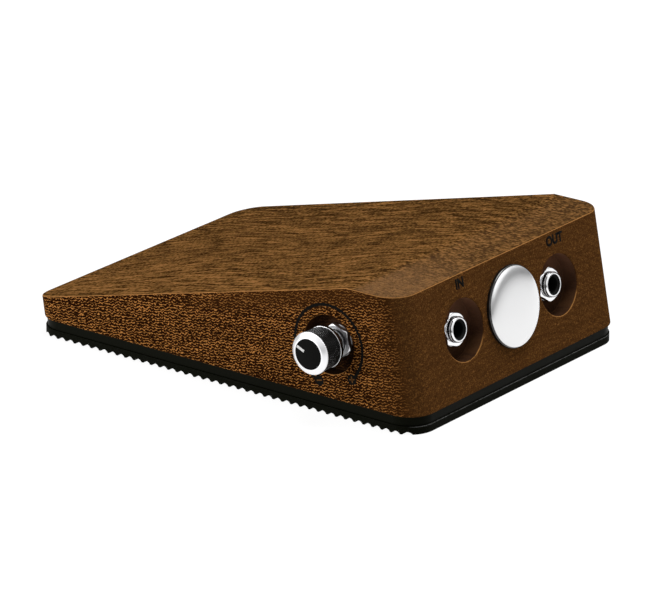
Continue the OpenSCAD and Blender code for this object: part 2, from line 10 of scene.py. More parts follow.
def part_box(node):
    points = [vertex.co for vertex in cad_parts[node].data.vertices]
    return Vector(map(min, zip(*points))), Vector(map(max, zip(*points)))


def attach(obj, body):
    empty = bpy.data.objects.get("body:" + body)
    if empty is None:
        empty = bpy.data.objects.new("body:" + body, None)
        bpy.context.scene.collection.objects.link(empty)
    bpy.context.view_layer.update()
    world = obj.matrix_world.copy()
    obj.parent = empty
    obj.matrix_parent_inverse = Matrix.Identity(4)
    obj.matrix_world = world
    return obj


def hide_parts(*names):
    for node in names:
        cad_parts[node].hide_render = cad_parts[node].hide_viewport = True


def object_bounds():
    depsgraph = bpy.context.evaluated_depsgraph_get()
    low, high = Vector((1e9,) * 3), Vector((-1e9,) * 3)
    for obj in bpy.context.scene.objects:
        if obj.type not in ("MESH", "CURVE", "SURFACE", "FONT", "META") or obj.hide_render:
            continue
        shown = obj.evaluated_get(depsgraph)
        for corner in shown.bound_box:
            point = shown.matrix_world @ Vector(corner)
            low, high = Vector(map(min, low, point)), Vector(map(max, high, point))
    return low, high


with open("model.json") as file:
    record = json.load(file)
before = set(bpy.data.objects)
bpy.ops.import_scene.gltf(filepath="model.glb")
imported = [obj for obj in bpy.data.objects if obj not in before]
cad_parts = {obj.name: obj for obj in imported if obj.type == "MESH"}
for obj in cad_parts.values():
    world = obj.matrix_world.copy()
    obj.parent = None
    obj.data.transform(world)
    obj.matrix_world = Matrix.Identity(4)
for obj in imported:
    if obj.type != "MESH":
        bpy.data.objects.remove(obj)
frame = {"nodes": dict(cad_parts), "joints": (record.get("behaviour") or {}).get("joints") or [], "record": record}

bl_info = {
    "name": "Foot Stomp Box",
    "version": (1, 0, 0),
    "blender": (4, 5, 0),
    "location": "3D View > Sidebar > Stomp Box",
    "description": "Dresses a wooden foot stomp box with its finishes, printing, threads and knurl",
    "category": "Add Mesh",
}

CAD_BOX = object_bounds()
BOX = "box"
KNOB = "knob"
MM = 0.001
TURN = 2 * math.pi
WHITE = (1, 1, 1, 1)

# places and directions from the frame
KNOB_AT = Vector(frame["joints"][0]["pos_m"])
BORES = [m for m in frame["record"]["mounts"] if m["kind"] == "bore"]
JACKS = {m["name"]: Vector(m["pos_m"]) for m in BORES}
REAR_OUT = Vector(BORES[0]["axis"])
REAR_UP = Vector((0, -REAR_OUT.z, REAR_OUT.y))
WOOD_LOW, WOOD_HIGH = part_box("wood_body")
REAR_FOOT = Vector((0, WOOD_HIGH.y, WOOD_LOW.z))
UPWARD = Vector((0, 0, 1))
KNOB_OUT = Vector((1, 0, 0))
KNOB_FACE = Vector((WOOD_HIGH.x, KNOB_AT.y, KNOB_AT.z))

# recesses in the wood, and the mouths of the jacks
KNOB_RECESS_R = 12.0 * MM
JACK_RECESS_R = 12.5 * MM
# levels of the painted shade in the recesses; the knob's recess is shaded deepest
KNOB_RECESS_SHADE = 0.35
JACK_RECESS_SHADE = 1.25
MOUTH_R = 4.25 * MM

# rounds along edges, and gaps
PLATE_EDGE = 0.25 * MM
MAT_EDGE = 0.12 * MM
GRIP_EDGE = 0.15 * MM
BEZEL_EDGE = 0.25 * MM
FACE_EDGE = 0.12 * MM
MARK_EDGE = 0.04 * MM
WELD = 0.002 * MM
SLACK = 0.05 * MM

# printing, threads, knurl and dome
LETTER_SQUEEZE = 0.98
SIGN_LENGTH = 1.2
SIGN_WIDTH = 0.26
THREAD_END = 0.45 * MM
RIDGE_OF_PITCH = 0.29
RIDGE_SUNK = 0.65
KNURL_MARGIN = 0.2 * MM
KNURL_SUNK = 0.01 * MM
DOME_STEPS = 28
DOME_SHOULDER = 0.5
DOME_CROWN = 0.62

# the floor, and the lamps by place and diameter
FLOOR_HALF = 12
FLOOR_GAP = 0.02 * MM
LIT_POINT = Vector((0, 0, 0.02))
LAMPS = {
    "top_lamp": ((-0.25, 0.10, 1.20), 0.9),
    "side_lamp": ((1.10, -0.82, 0.25), 0.7),
    "rear_lamp": ((-0.65, 1.05, 0.45), 0.7),
}

# metals by colour, roughness and fine lines per millimetre; others by colour, roughness, variation,
# grain per millimetre and bump
PLATING_ROUGH = {"bright_plating": 0.07, "satin_plating": 0.32}
METALS = {
    "zinc_screw": ((0.62, 0.63, 0.66), 0.25),
    "zinc_frame": ((0.58, 0.60, 0.63), 0.28, (0.4, 2.5, 0.4)),
    "zinc_can": ((0.60, 0.61, 0.64), 0.25),
    "sprung_bronze": ((0.72, 0.46, 0.22), 0.22, (0.3, 3.0, 0.3)),
    "bare_brass": ((0.80, 0.58, 0.26), 0.24),
    "turned_alloy": ((0.75, 0.75, 0.76), 0.2, (4.0, 0.4, 0.4)),
}
PLAINS = {
    "pressed_fibre": ((0.25, 0.11, 0.05), 0.7, 0.3, 1.0, 0.2),
    "brown_board": ((0.30, 0.15, 0.06), 0.6, 0.2),
    "rotor_fibre": ((0.20, 0.09, 0.05), 0.6, 0.2),
    "carbon_film": ((0.03, 0.03, 0.03), 0.45, 0.3),
    "foam_tape": ((0.80, 0.79, 0.76), 0.9, 0.06, 2.0, 0.4),
    "silvered_ceramic": ((0.82, 0.79, 0.72), 0.5, 0.05),
    "red_cover": ((0.40, 0.03, 0.03), 0.4, 0.12),
    "black_cover": ((0.02, 0.02, 0.02), 0.4, 0.12),
    "blue_cover": ((0.05, 0.14, 0.38), 0.4, 0.12),
}

# finishes of the inner parts
JACK_WORKS = {
    "frame": "zinc_frame", "insulators": "pressed_fibre", "tip_spring": "sprung_bronze",
    "rivet": "bare_brass",
}
VOLUME_WORKS = {
    "terminals": "bare_brass", "shaft": "turned_alloy", "housing": "zinc_can", "wafer": "brown_board",
    "wiper": "rotor_fibre", "track": "carbon_film",
}
PICKUP_WORKS = {"pad": "foam_tape", "disc": "bare_brass", "ceramic": "silvered_ceramic"}
WIRE_COVERS = {"red_wire": "red_cover", "black_wire": "black_cover", "blue_wire": "blue_cover"}


def number(name, description, default, **options):
    return FloatProperty(name=name, description=description, default=default, **options)


def length(name, description, millimetres):
    return number(name, description, millimetres * MM, subtype="DISTANCE", unit="LENGTH", precision=5)


def angle(name, description, degrees):
    return number(name, description, math.radians(degrees), subtype="ANGLE", unit="ROTATION")


def count(name, description, default, least):
    return IntProperty(name=name, description=description, default=default, min=least)


def colour(name, description, default):
    return FloatVectorProperty(
        name=name, description=description, default=default, subtype="COLOR", size=3, min=0, max=1
    )


class WoodSettings(bpy.types.PropertyGroup):
    edge: length("Edge round", "Width of the round along the wood's edges", 0.45)
    slope: angle("Grain slope", "How far the grain rises to the jack end", 13.9)
    side_slope: angle("Side grain slope", "How far the grain of the sides rises to the jack end", 8.0)
    wander: angle("Grain wander", "How far the grain runs aside", 2.0)
    top_dark: colour("Top dark", "Colour of the late wood and pores on top", (0.031, 0.0142, 0.0042))
    top_middle: colour("Top middle", "Colour of the top between the lines", (0.130, 0.0620, 0.0165))
    top_light: colour("Top light", "Colour of the palest fibres on top", (0.312, 0.1430, 0.0430))
    side_dark: colour("Side dark", "Colour of the pores on the sides", (0.020, 0.0065, 0.0020))
    side_middle: colour("Side middle", "Colour of the sides between the lines", (0.128, 0.0480, 0.0115))
    side_light: colour("Side light", "Colour of the palest fibres on the sides", (0.600, 0.2520, 0.0640))
    end: colour("End grain", "Colour that the ends are toned towards", (0.152, 0.0675, 0.0208))
    # painted sheen: the colour that the level top is lightened towards, more on the knob's side
    level: colour("Level top", "Colour that the level top is worn towards", (0.235, 0.1240, 0.0560))
    # painted shade in the recesses, lighter towards the top of each recess as painted light
    recess: colour("Recess", "Colour of the oil-dark cut wood in the recesses", (0.102, 0.0480, 0.0270))
    ring: length("Ring width", "Distance between growth rings", 2.6)
    taper: number("Taper", "How fast the rings rise out of the top", 0.12)
    heart_x: length("Heart aside", "Place of the tree's heart across the width", 4)
    heart_z: length("Heart height", "Height of the tree's heart, below the floor", -95)
    drift: length("Drift", "How far the grain strays to the side along the top", 44)
    ripple: length("Ripple", "Distance between the fine lines on the long sides", 1.15)
    weave: length("Weave", "Length of the kinks in those lines", 2.6)


class PrintSettings(bpy.types.PropertyGroup):
    ink: colour("Ink", "Colour of the printing", (0.006, 0.006, 0.005))
    bare: colour("Bare sign", "Colour of the wood left bare in the dial's discs", (0.170, 0.0720, 0.0190))
    letter: length("Letter height", "Height of the letters over the jacks", 4.2)
    bold: number("Bold", "How far the letters are fattened, in ems", 0.050)
    letter_aside: length("Letters aside", "Shift of the letters across the face from the jacks", -1.2)
    letter_up: length("Letters up", "Height of the letters up the leaning face", 44.3)
    arc_r: length("Dial radius", "Radius of the dial's line", 16.3)
    arc_w: length("Dial line", "Width of the dial's line", 1.22)
    arc_half: angle("Dial half sweep", "Sweep of the dial on each side of its top", 150)
    tilt: angle("Dial tilt", "How far the dial's top leans to the thin end", 13.9)
    end_r: length("End disc", "Radius of the discs that end the dial", 2.15)
    film: length("Film", "Thickness of the printing", 0.02)


class MetalSettings(bpy.types.PropertyGroup):
    bright: colour("Bright plating", "Colour of the bright plating", (0.90, 0.90, 0.91))
    edge: length("Edge round", "Width of the round along metal edges", 0.14)
    pitch: length("Thread pitch", "Distance from thread to thread", 1.5)
    # painted shade between the threads of the volume control
    root: colour("Thread root", "Colour between the threads of the volume control", (0.05, 0.05, 0.052))
    # painted shade inside the plug's bore
    throat: colour("Throat", "Colour inside the plug's bore", (0.0035, 0.0035, 0.0030))


class KnobSettings(bpy.types.PropertyGroup):
    grip: colour("Grip", "Colour of the knurled grip", (0.0040, 0.0040, 0.0036))
    face: colour("Face", "Colour of the flat face", (0.0034, 0.0034, 0.0030))
    mark: colour("Mark", "Colour of the pointer", (1.0, 1.0, 0.99))
    # painted glints: the colour that the knurl's points are lightened towards in patches
    worn: colour("Worn", "Colour of the knurl's rubbed points", (0.85, 0.85, 0.86))
    around: count("Knurls around", "Knurls in one row", 76, 12)
    rows: count("Knurl rows", "Rows of knurls along the grip", 9, 1)
    depth: length("Knurl depth", "Height of each knurl", 0.22)
    teeth: count("Bezel teeth", "Fine teeth round the bezel's edge", 64, 12)
    tooth: length("Tooth height", "Height of the bezel's teeth", 0.18)


class BadgeSettings(bpy.types.PropertyGroup):
    film: colour("Film", "Colour of the badge's film", (0.95, 0.95, 0.955))
    # painted shade: the thin dark line round the badge's rim
    line: colour("Outline", "Colour of the line round the badge", (0.006, 0.006, 0.006))
    line_w: length("Outline width", "Width of the line round the badge", 0.65)


class BaseSettings(bpy.types.PropertyGroup):
    plate: colour("Plate", "Colour of the base plate", (0.0030, 0.0034, 0.0010))
    rubber: colour("Rubber", "Colour of the ribbed mat", (0.0028, 0.0032, 0.0010))
    # the pale colour serves both faint dust flecks and the painted highlight along the mat's upper edge
    scuff: colour("Scuff", "Colour of the rubbed line along the mat's upper edge", (0.17, 0.17, 0.165))
    scuff_w: length("Scuff width", "Height of the rubbed line", 0.48)


class StageSettings(bpy.types.PropertyGroup):
    azimuth: angle("Azimuth", "Direction that the camera looks from", 127.33)
    elevation: angle("Elevation", "Height of the camera above the horizon", 20.26)
    distance: length("Distance", "Distance of the camera", 2002)
    aside: length("Aside", "Shift of the camera to the right", -1.29)
    above: length("Above", "Shift of the camera upwards", 7.37)
    focal: number("Focal length", "Camera lens in millimetres", 275.06)
    floor: colour("Floor", "Colour of the floor", (0.55, 0.55, 0.55))
    shadow: number("Shadow", "How much of the shadow shows on the floor", 0.30, min=0, max=1)
    glow: number("Glow", "Brightness of the floor as it is seen", 1.35)
    sky: number("Sky", "Strength of the even light", 0.12)
    haze: number("Horizon", "Brightness of the horizon in mirrors", 0.12)
    top_lamp: number("Top lamp", "Power of the lamp overhead, in watts", 12.0)
    side_lamp: number("Side lamp", "Power of the lamp on the knob's side, in watts", 10.6)
    rear_lamp: number("Rear lamp", "Power of the lamp at the jack end, in watts", 0.9)


class StompBoxSettings(bpy.types.PropertyGroup):
    wood: PointerProperty(type=WoodSettings)
    printing: PointerProperty(type=PrintSettings)
    metal: PointerProperty(type=MetalSettings)
    knob: PointerProperty(type=KnobSettings)
    badge: PointerProperty(type=BadgeSettings)
    base: PointerProperty(type=BaseSettings)
    stage: PointerProperty(type=StageSettings)


class Value:
    """One output in a node tree; arithmetic on it adds Math nodes to that tree."""

    def __init__(self, owner, socket):
        self.owner = owner
        self.socket = socket

    def math(self, operation, *others):
        inputs = dict(enumerate((self,) + others))
        return self.owner.add("ShaderNodeMath", {"operation": operation}, inputs)

    def __add__(self, other):
        return self.math("ADD", other)

    def __mul__(self, other):
        return self.math("MULTIPLY", other)

    def __sub__(self, other):
        return self.math("SUBTRACT", other)

    def __truediv__(self, other):
        return self.math("DIVIDE", other)

    def __pow__(self, other):
        return self.math("POWER", other)

    def __rsub__(self, other):
        return self.owner.add("ShaderNodeMath", {"operation": "SUBTRACT"}, {0: other, 1: self})

    __radd__ = __add__
    __rmul__ = __mul__

    def step(self, low, high):
        """Rises smoothly from 0 at low to 1 at high."""
        sockets = {"Value": self, "From Min": low, "From Max": high}
        return self.owner.add("ShaderNodeMapRange", {"interpolation_type": "SMOOTHSTEP"}, sockets)

    def clamp(self):
        return self.owner.add("ShaderNodeClamp", {}, {"Value": self})


class Tree:
    """A node tree that is filled one node at a time."""

    def __init__(self, tree):
        self.tree = tree

    def add(self, kind, settings=None, sockets=None, out=0):
        node = self.tree.nodes.new(kind)
        for key, value in (settings or {}).items():
            if key == "stops":
                self.set_stops(node.color_ramp, value)
            else:
                setattr(node, key, value)
        for key, value in (sockets or {}).items():
            if isinstance(value, Value):
                self.tree.links.new(value.socket, node.inputs[key])
            else:
                node.inputs[key].default_value = value
        return Value(self, node.outputs[out]) if node.outputs else node

    @staticmethod
    def set_stops(ramp, stops):
        while len(ramp.elements) < len(stops):
            ramp.elements.new(1)
        for element, (at, tint) in zip(ramp.elements, stops):
            element.position = at
            element.color = (*tint[:3], 1)


class Finish(Tree):
    """A material with a Principled shader and the patterns that feed it."""

    def __init__(self, name):
        self.material = bpy.data.materials.new(name)
        self.material.use_nodes = True
        self.material.node_tree.nodes.clear()
        super().__init__(self.material.node_tree)

    def place(self, scale=(1, 1, 1), rotation=(0, 0, 0), shift=(0, 0, 0)):
        """Object coordinates in millimetres from a point in metres, along turned axes, then stretched."""
        at = self.add("ShaderNodeTexCoord", out="Object")
        sockets = {"Vector": at, "Location": shift, "Rotation": rotation, "Scale": [MM / s for s in scale]}
        return self.add("ShaderNodeMapping", {"vector_type": "TEXTURE"}, sockets)

    def cells(self, at, detail, rough):
        sockets = {"Vector": at, "Scale": 1, "Detail": detail, "Roughness": rough}
        return self.add("ShaderNodeTexNoise", {}, sockets)

    def noise(self, scale, detail=2.0, rough=0.5, rotation=(0, 0, 0), shift=(0, 0, 0)):
        """Smooth noise from 0 to 1, with its cells per millimetre, all round or along x, y and z."""
        if not isinstance(scale, tuple):
            scale = (scale,) * 3
        return self.cells(self.place(scale, rotation, shift), detail, rough)

    def streaks(self, x, y, z, across, along, detail=2.0, rough=0.6):
        """Noise drawn out along y, with its cells per millimetre across it and along it."""
        at = self.add("ShaderNodeCombineXYZ", {}, {0: x * across, 1: y * along, 2: z * across})
        return self.cells(at, detail, rough)

    def on_face(self, at, out):
        """Millimetres to the right, up and out from a point on a face that looks along out."""
        return self.split(self.place(rotation=facing(at, out, UPWARD).to_euler(), shift=at))

    def facets(self):
        """The surface's normal as three values."""
        return self.split(self.add("ShaderNodeTexCoord", out="Normal"))

    def split(self, vector):
        first = self.add("ShaderNodeSeparateXYZ", {}, {0: vector})
        return [Value(self, output) for output in first.socket.node.outputs]

    def blend(self, factor, low, high):
        """Colour that goes from low to high with factor."""
        low, high = [tint if isinstance(tint, Value) else (*tint[:3], 1) for tint in (low, high)]
        return self.add("ShaderNodeMix", {"data_type": "RGBA"}, {0: factor, 6: low, 7: high}, 2)

    def ramp(self, tone, *tints):
        """Colour that runs evenly through tints as tone goes from 0 to 1."""
        stops = [(i / (len(tints) - 1), tint) for i, tint in enumerate(tints)]
        return self.add("ShaderNodeValToRGB", {"stops": stops}, {"Fac": tone.clamp()})

    def bump(self, height, strength, distance):
        sockets = {"Height": height, "Strength": strength, "Distance": distance}
        return self.add("ShaderNodeBump", {}, sockets)

    def surface(self, **sockets):
        """Ends the material in one Principled shader; an underscore in a name stands for a space."""
        named = {key.replace("_", " "): value for key, value in sockets.items()}
        shader = self.add("ShaderNodeBsdfPrincipled", {}, named)
        self.add("ShaderNodeOutputMaterial", {}, {"Surface": shader})
        return self.material


def diagonal(a, b):
    """Distance from the origin of a point with two coordinates."""
    return (a * a + b * b) ** 0.5


def shades(tint, *levels):
    """One colour at several levels of brightness."""
    return [[c * level for c in tint] for level in levels]


def in_recess(f, at, out, radius):
    """A mask of the cut wood in a round recess that opens at a point, and 0 to 1 up the recess."""
    rim = radius / MM
    u, v, w = f.on_face(at, out)
    within = 1 - diagonal(u, v).step(rim + 0.05, rim + 0.25)
    below_face = 1 - w.step(-0.55, -0.2)
    near_face = w.step(-12.0, -11.0)
    return within * below_face * near_face, v.step(-rim, rim)


def wood_finish(wood, recesses):
    """Oiled open-pored hardwood whose grain lies along the sloping top, with painted highlights on the top's edges
    and level top and painted shade in its recesses.
    """
    f = Finish("oiled_hardwood")
    lie = (wood.slope, 0, wood.wander)
    flat = (wood.side_slope, 0, wood.wander)
    x, y, z = f.split(f.place(rotation=lie))
    along_side, up_side = f.split(f.place(rotation=flat))[1:]

    # growth rings about the tree's heart, bent by slow noise
    drift = f.noise((0.006, 0.010, 0.006), 1, 0.5, lie, shift=(0.2, 0.3, 0.1))
    sway = f.noise((0.05, 0.012, 0.05), 2, 0.5, lie, shift=(0.3, 0.1, 0.2))
    jitter = f.noise((0.30, 0.035, 0.30), 2, 0.6, lie)
    across = x - wood.heart_x / MM + (drift - 0.5) * (wood.drift / MM)
    height = z - wood.heart_z / MM + y * wood.taper + (sway - 0.5) * 3
    ring = (diagonal(across, height) / (wood.ring / MM) + (jitter - 0.5) * 0.3).math("FRACT")
    late = ring.step(0.45, 0.90) * (1 - ring.step(0.90, 1.0))

    # which way the surface faces
    nx, _, nz = f.facets()
    top = nz.math("ABSOLUTE").step(0.55, 0.85)
    side = nx.math("ABSOLUTE").step(0.60, 0.97)
    edge = nz.step(0.35, 0.55) * (1 - nz.step(0.80, 0.93))
    level = nz.step(0.980, 0.995)

    # the top: fibres, pores and pale flecks along the grain, a little darker to the side away from the knob
    fibre = f.streaks(across, y, z, 0.60, 0.020)
    hair = f.streaks(across, y, z, 1.00, 0.13)
    thin = f.streaks(across, y, z, 1.50, 0.06)
    pore = f.streaks(across + 300, y, z, 0.95, 0.085, 1).step(0.56, 0.68)
    pale = f.streaks(across + 600, y, z, 0.95, 0.060, 1).step(0.56, 0.68)
    grit = f.noise(0.9, 1, 0.5, lie, shift=(0.1, 0.4, 0.2))
    cloud = f.noise((0.022, 0.010, 0.022), 2, 0.5, lie)
    on_top = 0.483 + (fibre - 0.5) * 0.4 + (hair - 0.5) * 1.7 + (thin - 0.5) * 3.0 + (grit - 0.5) * 2.2
    on_top = on_top + x * 0.0013 + (cloud - 0.5) * 0.12 - late * 0.20 - pore * 0.37 + pale * 0.37

    # the long sides: fine kinked lines, calmer at the jack end and under the top's edge
    stray = f.noise((0.45, 0.40, 0.45), 2, 0.6, flat)
    nick = f.noise((1.6, 1.15, 1.6), 1, 0.5, flat, shift=(0.2, 0.1, 0.0))
    waver = f.noise((0.50, 0.40, 0.50), 2, 0.6, flat, shift=(0.4, 0.3, 0.1))
    band = f.noise((0.35, 0.016, 0.35), 2, 0.5, flat)
    weave = ((along_side / (wood.weave / MM) + waver * 2.0) * TURN).math("SINE")
    ripple = ((up_side / (wood.ripple / MM) + stray * 1.7 + weave * 0.23) * TURN).math("SINE")
    on_side = ripple * 1.7 - 0.58 + weave * 0.20 + (nick - 0.5) * 4.8 + (band - 0.5) * 1.3
    at_end = along_side.step(66, 98) * 0.60
    under_edge = z.step(27, 36) * along_side.step(-30, 30) * 0.48
    calm = at_end.math("MAXIMUM", under_edge)
    on_side = on_side.clamp() * (1 - calm) + calm * 0.33

    # the ends: fine specks
    speck = f.noise(1.9, 1, 0.75)
    line = f.noise((0.05, 0.5, 1.3), 2, 0.6)
    on_end = 0.45 + (speck - 0.5) * 1.8 + (line - 0.5) * 0.5 - late * 0.10

    upper = f.ramp(on_top, wood.top_dark, wood.top_middle, wood.top_light)
    # painted sheen: the level top is blended towards a paler colour, more towards the knob's side
    worn = f.blend(speck.step(0.30, 0.70), *shades(wood.level, 0.58, 1.26))
    upper = f.blend(level * (0.16 + x.step(10, 60) * 0.42), upper, worn)
    flank = on_side * side + on_end * (1 - side)
    lower = f.ramp(flank, wood.side_dark, wood.side_middle, wood.side_light)
    lower = f.blend((1 - side) * 0.42, lower, wood.end)
    tint = f.blend(top, lower, upper)
    # painted highlight: the rounded edges along the top are lightened towards a pale fibre colour
    tint = f.blend(edge * 0.9, tint, *shades(wood.top_light, 1.8))
    # painted shade in the recesses, deepest in the knob's, with painted light that makes each recess paler towards
    # its top
    for at, out, size, tone in recesses:
        inside, up = in_recess(f, at, out, size)
        cut = f.blend(up * 0.8 + speck * 0.2, *shades(wood.recess, 0.25 * tone, 1.9 * tone))
        tint = f.blend(inside * 0.92, tint, cut)
    grain = pore * top + (0.5 - ripple * 0.5) * side * (1 - top) + speck * (1 - side) * (1 - top) * 0.5
    return f.surface(
        Base_Color=tint, Roughness=0.50 + grain * 0.16, Normal=f.bump(1 - grain, 0.25, 0.12 * MM),
        Specular_IOR_Level=0.0,
    )


def bright_finish(name, metal, rough):
    """Bright plating with faint smears and a little waviness."""
    f = Finish(name)
    smear = f.noise(0.35, 3, 0.6)
    wave = f.noise(1.2, 2, 0.5)
    tint = f.blend(smear, *shades(metal.bright, 0.93, 1))
    return f.surface(
        Base_Color=tint, Metallic=1.0, Roughness=rough + smear * 0.10, Normal=f.bump(wave, 0.05, 0.05 * MM)
    )


def metal_finish(name, tint, rough, lines=1.5):
    """Bare metal with fine lines of the given cells per millimetre, and dull patches."""
    f = Finish(name)
    scratch = f.noise(lines, 3, 0.6)
    patch = f.noise(0.12, 2, 0.5)
    return f.surface(
        Base_Color=f.blend(patch, *shades(tint, 0.72, 1)), Metallic=1.0, Roughness=rough + scratch * 0.18,
        Normal=f.bump(scratch, 0.12, 0.05 * MM),
    )


def plain_finish(name, tint, rough, vary=0.25, cells=0.8, bump=0.1, level=0.5):
    """Plastic, paint, fibre or paper with a grain of the given cells per millimetre."""
    f = Finish(name)
    grain = f.noise(cells, 3, 0.6)
    patch = f.noise(0.07, 2, 0.5)
    shade = f.blend(patch * 0.6 + grain * 0.4, *shades(tint, 1 - vary, 1 + vary))
    return f.surface(
        Base_Color=shade, Roughness=rough + (grain - 0.5) * 0.2, Normal=f.bump(grain, bump, 0.06 * MM),
        Specular_IOR_Level=level,
    )


def throat_finish(metal, radius, root):
    """Bright plating with painted shade: black inside the plug's bore and dark between its threads, on both jacks.
    """
    f = Finish("jack_plating")
    jack = JACKS["input_jack"]
    u, v, _ = f.on_face(Vector((0, jack.y, jack.z)), REAR_OUT)
    from_axis = diagonal(u.math("ABSOLUTE") - jack.x / MM, v)
    # painted shade: black inside the plug's bore, and dark between the threads of both jacks
    inside = 1 - from_axis.step(radius / MM - 0.12, radius / MM + 0.02)
    between = from_axis.step(root / MM - 0.10, root / MM - 0.03)
    smear = f.noise(0.5, 3, 0.6)
    tint = f.blend(smear, *shades(metal.bright, 0.93, 1))
    return f.surface(
        Base_Color=f.blend((inside + between).clamp(), tint, metal.throat), Metallic=1 - inside,
        Roughness=0.07 + smear * 0.08 + inside * 0.5, Specular_IOR_Level=0.1,
    )


def knurl_finish(knob, radius):
    """Black knurl whose points are painted bright in patches, as painted glints."""
    f = Finish("knurl_black")
    aside, up = f.split(f.place(shift=KNOB_AT))[1:]
    above_root = diagonal(aside, up) - radius / MM
    point = above_root.step(knob.depth * 0.30 / MM, knob.depth * 0.75 / MM)
    # painted glints: the knurl's points are lightened in patches and flecks
    patch = f.noise(0.11, 2, 0.5).step(0.47, 0.57)
    fleck = f.noise(1.4, 1, 0.5).step(0.35, 0.60)
    return f.surface(
        Base_Color=f.blend(point * patch * fleck, knob.grip, knob.worn), Roughness=0.32 + fleck * 0.1,
        Specular_IOR_Level=0.15,
    )


def rubber_finish(base, top_z):
    """Matt rubber with a fine pebble and faint pale dust, and a painted highlight in broken places along its upper
    edge at both ends.
    """
    f = Finish("ribbed_rubber")
    z = f.split(f.place())[2]
    ny = f.facets()[1]
    pebble = f.noise(2.0, 2, 0.6)
    broken = f.noise(0.09, 3, 0.7)
    chip = f.noise(0.9, 2, 0.6)
    # painted highlight: a broken pale line along the mat's upper edge at both ends; the pale colour also gives
    # faint dust flecks
    upper_edge = z.step((top_z - base.scuff_w) / MM, (top_z - base.scuff_w * 0.6) / MM)
    line = upper_edge * ny.math("ABSOLUTE").step(0.5, 0.9)
    highlight_line = line * broken.step(0.26, 0.46) * chip.step(0.26, 0.52)
    dust = pebble.step(0.52, 0.75) * 0.07
    shade = f.blend(highlight_line + dust * (1 - highlight_line), base.rubber, base.scuff)
    return f.surface(
        Base_Color=shade, Roughness=0.62 + pebble * 0.2, Normal=f.bump(pebble, 0.35, 0.12 * MM),
        Specular_IOR_Level=0.03,
    )


def badge_finish(badge, at, radius):
    """White film under a clear glossy dome, with a thin dark line round it as painted shade at the rim."""
    f = Finish("domed_film")
    u, v, _ = f.on_face(at, REAR_OUT)
    # painted shade: a thin dark line round the badge's rim
    line = diagonal(u, v).step((radius - badge.line_w) / MM, (radius - badge.line_w * 0.7) / MM)
    sheen = f.noise(0.05, 2, 0.5)
    film = f.blend(sheen, *shades(badge.film, 0.96, 1))
    return f.surface(
        Base_Color=f.blend(line, film, badge.line), Metallic=(1 - line) * 0.65,
        Roughness=0.16 + sheen * 0.08, Coat_Weight=1 - line * 0.6, Coat_Roughness=0.03,
    )


def linked(name, data):
    """A new object in the scene."""
    holder = bpy.data.objects.new(name, data)
    bpy.context.scene.collection.objects.link(holder)
    return holder


def as_mesh(holder):
    """The plain mesh that an object's modifiers or letters make; the object is removed."""
    graph = bpy.context.evaluated_depsgraph_get()
    made = bpy.data.meshes.new_from_object(holder.evaluated_get(graph))
    bpy.data.objects.remove(holder)
    return made


def mesh_of(bm, name):
    """A mesh from a bmesh, which is freed."""
    mesh = bpy.data.meshes.new(name)
    bm.to_mesh(mesh)
    bm.free()
    return mesh


def new_piece(name, mesh, material, body, replaces=()):
    """Links a finished mesh as a piece of the object that rides on a body."""
    piece = linked(name, mesh)
    mesh.materials.clear()
    mesh.materials.append(material)
    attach(piece, body)
    if replaces:
        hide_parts(*replaces)
    return piece


def recast(name, node, edge, material, body, segments=2, limit=35):
    """A piece that takes a CAD node's place, with its sharp edges rounded."""
    return new_piece(name, eased(node, edge, segments, limit), material, body, [node])


def baked(mesh, modifiers):
    """The mesh that a list of modifiers, given as (type, settings), makes of a mesh."""
    holder = linked("holder", mesh)
    for kind, settings in modifiers:
        modifier = holder.modifiers.new(kind.title(), kind)
        for key, value in settings.items():
            setattr(modifier, key, value)
    return as_mesh(holder)


def merged(node, flat=0.4):
    """A copy of a CAD node's mesh as one closed skin; faces within flat degrees are joined."""
    bm = bmesh.new()
    bm.from_mesh(frame["nodes"][node].data)
    bmesh.ops.remove_doubles(bm, verts=bm.verts, dist=WELD)
    bmesh.ops.dissolve_limit(bm, angle_limit=math.radians(flat), verts=bm.verts, edges=bm.edges)
    mesh = mesh_of(bm, node + "_skin")
    mesh.shade_smooth()
    return mesh


def girth(node, at, axis, past):
    """Largest distance from an axis of a node's points that lie at least past along it from a point."""
    spots = [v.co - at for v in frame["nodes"][node].data.vertices]
    return max((d - axis * d.dot(axis)).length for d in spots if d.dot(axis) >= past)


def height_along(node, at, axis):
    """How far a node reaches along an axis from a point."""
    return max((v.co - at).dot(axis) for v in frame["nodes"][node].data.vertices)


def eased(node, width, segments, limit):
    """A CAD node's shape with the edges that turn more than limit degrees rounded."""
    bevel = {
        "width": width, "segments": segments, "limit_method": "ANGLE", "angle_limit": math.radians(limit),
        "use_clamp_overlap": False, "miter_outer": "MITER_ARC",
    }
    return baked(merged(node), [("BEVEL", bevel), ("WEIGHTED_NORMAL", {"keep_sharp": True})])


